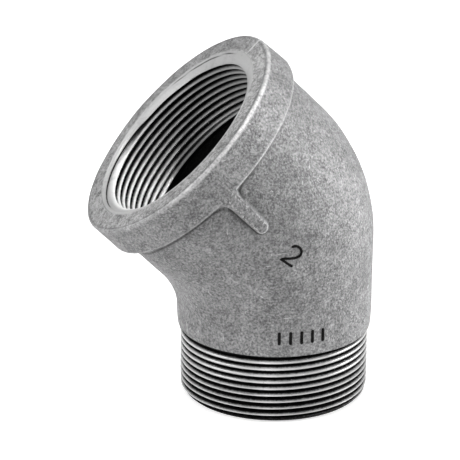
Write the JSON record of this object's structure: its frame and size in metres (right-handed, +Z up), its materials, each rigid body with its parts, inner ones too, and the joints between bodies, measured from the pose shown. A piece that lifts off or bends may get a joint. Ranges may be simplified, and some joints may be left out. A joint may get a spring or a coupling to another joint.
{
  "type": "pipe elbow",
  "caption": "45 degree street elbow in cast iron: a banded, internally threaded mouth at one end and an externally threaded spigot at the other, joined by a smooth hollow bend.",
  "frame": {"origin": "centre of the male end face", "axes": "+Z up the male axis, from the male end face towards the bend; XZ is the bend plane; the female port faces towards -X and +Z at 45 degrees to +Z; Y is square to the bend plane"},
  "size_m": [0.0899, 0.0778, 0.1152],
  "materials": {
    "cast_skin": "sand-cast skin, matt mid grey with a fine grain",
    "machined_iron": "freshly cut thread, bright crests",
    "cast_marks": "raised as-cast strokes, darkened"
  },
  "bodies": {
    "root": {"elbow_body": "cast_skin", "mouth_barrel": "cast_skin", "female_band": "cast_skin", "wrench_ribs": "cast_skin", "male_thread": "machined_iron", "female_thread": "machined_iron", "size_numeral": "cast_marks", "foundry_tally": "cast_marks"}
  },
  "joints": []
}
